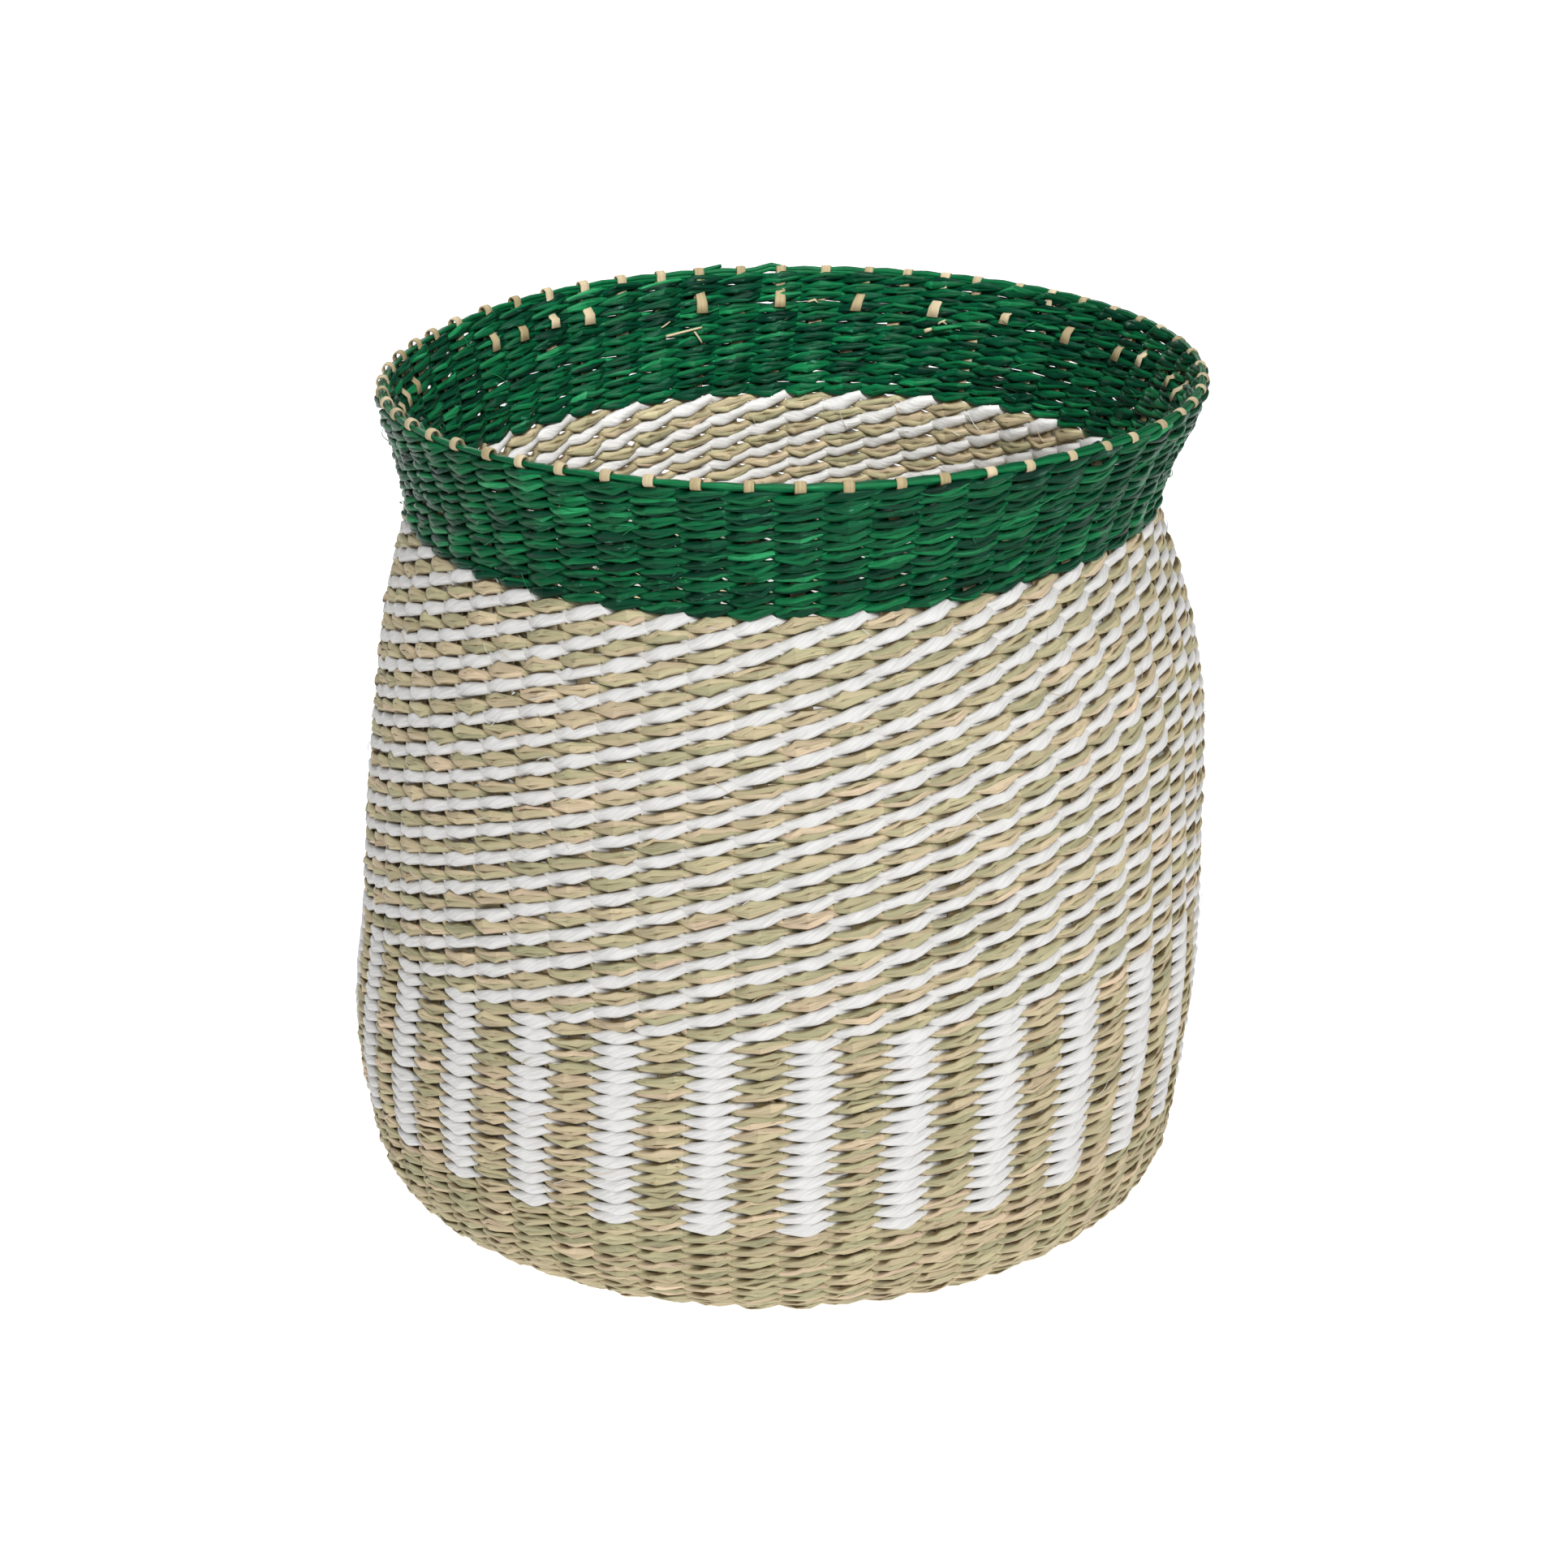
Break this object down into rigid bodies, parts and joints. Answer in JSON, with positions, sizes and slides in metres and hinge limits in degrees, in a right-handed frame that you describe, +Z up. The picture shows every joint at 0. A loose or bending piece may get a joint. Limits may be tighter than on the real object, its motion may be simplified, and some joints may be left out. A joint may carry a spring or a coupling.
{
  "type": "woven basket",
  "caption": "Round open belly-shaped basket of twined seagrass with white diagonals and stripes and a flared green collar, standing on a flat woven base.",
  "frame": {"origin": "centre of the flat underside, on the surface the basket stands on", "axes": "+Z up through the mouth; -Y is the front seen in the picture; +X to the right of the front view"},
  "size_m": [0.35, 0.35, 0.3637],
  "materials": {
    "seagrass": "dry matt plant leaf, olive to straw coloured, flattened blades with dark creases",
    "white_cord": "soft matt white twisted cord, faintly fibrous",
    "green_seagrass": "dyed leaf, deep green with a low waxy sheen"
  },
  "bodies": {
    "root": {"base_weave": "seagrass", "heel_weave": "seagrass", "stripe_weave": "white_cord", "diagonal_weave": "white_cord", "collar_weave": "green_seagrass", "rim_bundle": "green_seagrass", "stake_long_01": "seagrass", "stake_long_02": "seagrass", "stake_long_03": "seagrass", "stake_long_04": "seagrass", "stake_long_05": "seagrass", "stake_long_06": "seagrass", "stake_long_07": "seagrass", "stake_long_08": "seagrass", "stake_long_09": "seagrass", "stake_long_10": "seagrass", "stake_long_11": "seagrass", "stake_long_12": "seagrass", "stake_long_13": "seagrass", "stake_long_14": "seagrass", "stake_side_01": "seagrass", "stake_side_02": "seagrass", "stake_side_03": "seagrass", "stake_side_04": "seagrass", "stake_side_05": "seagrass", "stake_side_06": "seagrass", "stake_side_07": "seagrass", "stake_side_08": "seagrass", "stake_side_09": "seagrass", "stake_side_10": "seagrass", "stake_side_11": "seagrass", "stake_side_12": "seagrass", "stake_side_13": "seagrass", "stake_side_14": "seagrass", "stake_side_15": "seagrass", "stake_side_16": "seagrass", "stake_side_17": "seagrass", "stake_side_18": "seagrass", "stake_side_19": "seagrass", "stake_side_20": "seagrass", "stake_side_21": "seagrass", "stake_side_22": "seagrass", "stake_side_23": "seagrass", "stake_side_24": "seagrass", "stake_side_25": "seagrass", "stake_side_26": "seagrass", "stake_side_27": "seagrass", "stake_side_28": "seagrass"}
  },
  "joints": []
}
